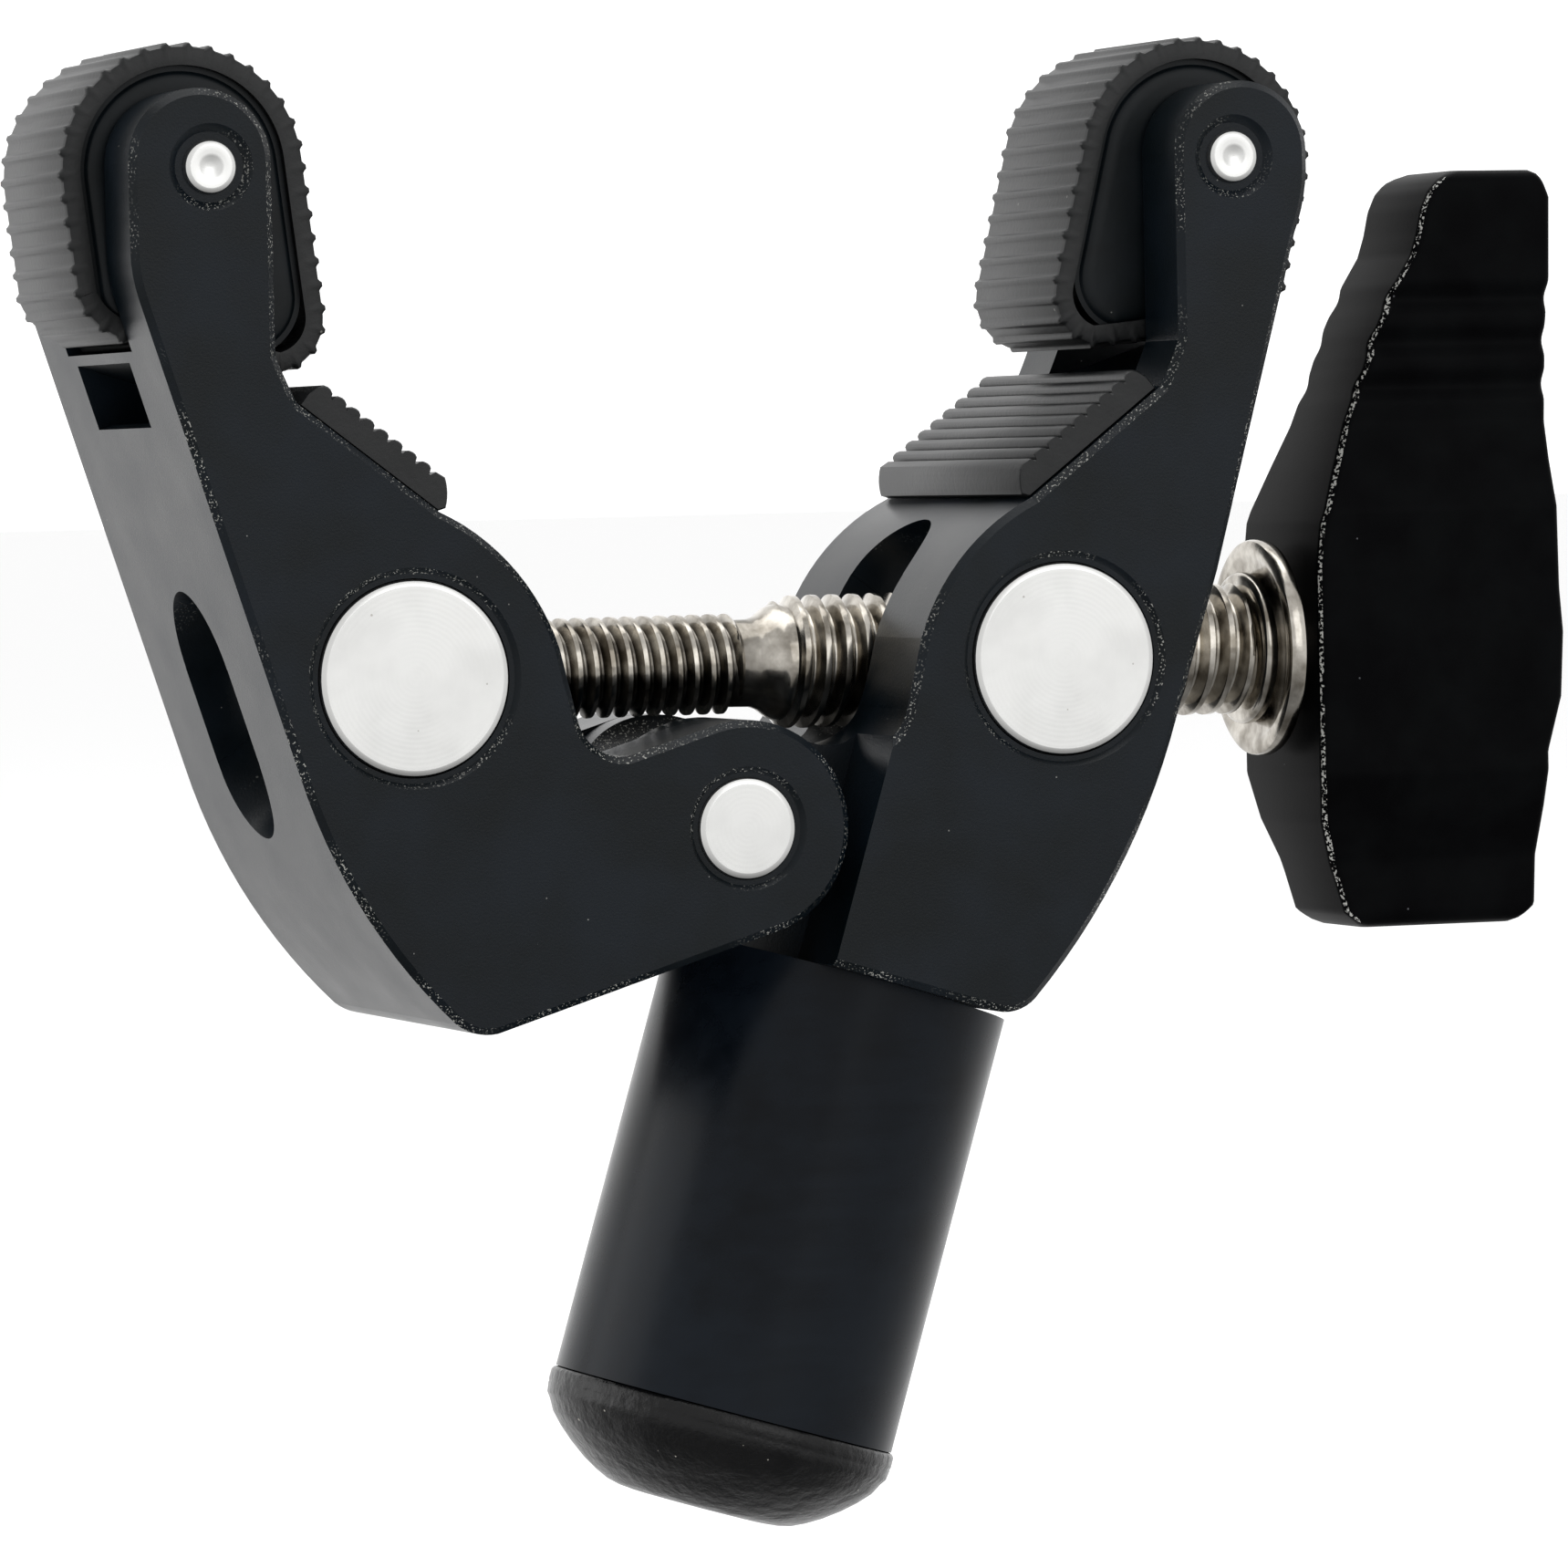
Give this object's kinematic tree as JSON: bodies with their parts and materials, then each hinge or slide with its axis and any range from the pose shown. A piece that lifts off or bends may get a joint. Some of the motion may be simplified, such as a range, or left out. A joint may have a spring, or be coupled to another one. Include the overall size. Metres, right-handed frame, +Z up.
{
  "type": "super clamp",
  "caption": "Small two-jaw pole clamp closed by a left-and-right-hand screw with a wing knob, with swivelling rubber pads, ribbed seats and a capped round mounting bar.",
  "frame": {"origin": "middle of the grip between the two jaws at rest, on the jaws' mid plane", "axes": "+X along the clamp screw at rest, towards the knob; +Y across the jaws, along the pole that they hold; +Z up, away from the mounting bar"},
  "size_m": [0.0912, 0.0246, 0.0855],
  "materials": {
    "jaw_coat": "fine textured black powder coat, worn bright on the edges",
    "grip_rubber": "black ribbed rubber",
    "core_plastic": "smooth black moulded core",
    "pin_steel": "bright ground steel",
    "screw_plate": "nickel plated steel",
    "knob_plastic": "satin black with worn speckled edges",
    "bar_anodise": "black anodised tube",
    "cap_rubber": "shiny black rubber",
    "inner_metal": "machined, hidden inside the bar"
  },
  "bodies": {
    "fixed_jaw": {"right_jaw": "jaw_coat", "right_grip_pad": "grip_rubber", "right_pad_pin": "pin_steel", "bar_tube": "bar_anodise", "bar_plug": "inner_metal", "bolt_washer": "inner_metal", "bar_bolt": "inner_metal", "bar_end_cap": "cap_rubber"},
    "moving_jaw": {"left_jaw": "jaw_coat", "hinge_pin": "pin_steel", "left_grip_pad": "grip_rubber", "left_pad_pin": "pin_steel"},
    "left_nut": {"left_barrel_nut": "pin_steel"},
    "right_nut": {"right_barrel_nut": "pin_steel"},
    "washer": {"thrust_washer": "screw_plate"},
    "screw": {"clamp_screw": "screw_plate", "wing_knob": "knob_plastic"},
    "left_shoe": {"left_swivel_core": "core_plastic", "left_swivel_grip": "grip_rubber"},
    "right_shoe": {"right_swivel_core": "core_plastic", "right_swivel_grip": "grip_rubber"}
  },
  "joints": [
    {"name": "knob_turn", "type": "hinge", "parent": "washer", "child": "screw", "pos_m": [0.03, 0, -0.021], "axis": [-1, 0, 0], "range_deg": [-180.1, 2250.1]},
    {"name": "screw_travel", "type": "slide", "parent": "right_nut", "child": "washer", "axis": [1, 0, 0], "range_m": [-0.00063, 0.00781]},
    {"name": "right_nut_swivel", "type": "hinge", "parent": "fixed_jaw", "child": "right_nut", "pos_m": [0.0193, 0, -0.021], "axis": [0, 1, 0], "range_deg": [-2.41, 30.01]},
    {"name": "jaw_swing", "type": "hinge", "parent": "fixed_jaw", "child": "moving_jaw", "pos_m": [0, 0, -0.03], "axis": [0, 1, 0], "range_deg": [-4.8, 60]},
    {"name": "left_nut_swivel", "type": "hinge", "parent": "moving_jaw", "child": "left_nut", "pos_m": [-0.0193, 0, -0.021], "axis": [0, 1, 0], "range_deg": [-30.01, 2.41]},
    {"name": "left_pad_swivel", "type": "hinge", "parent": "moving_jaw", "child": "left_shoe", "pos_m": [-0.0303, 0, 0.0074], "axis": [0, -1, 0], "range_deg": [-5, 15]},
    {"name": "right_pad_swivel", "type": "hinge", "parent": "fixed_jaw", "child": "right_shoe", "pos_m": [0.0303, 0, 0.0074], "axis": [0, 1, 0], "range_deg": [-12, 8]}
  ],
  "couplings": [
    {"joint": "knob_turn", "follows": "jaw_swing", "ratio": 37.5},
    {"joint": "screw_travel", "follows": "jaw_swing", "m_per_rad": 0.0074604},
    {"joint": "right_nut_swivel", "follows": "jaw_swing", "ratio": 0.5},
    {"joint": "left_nut_swivel", "follows": "jaw_swing", "ratio": -0.5}
  ]
}
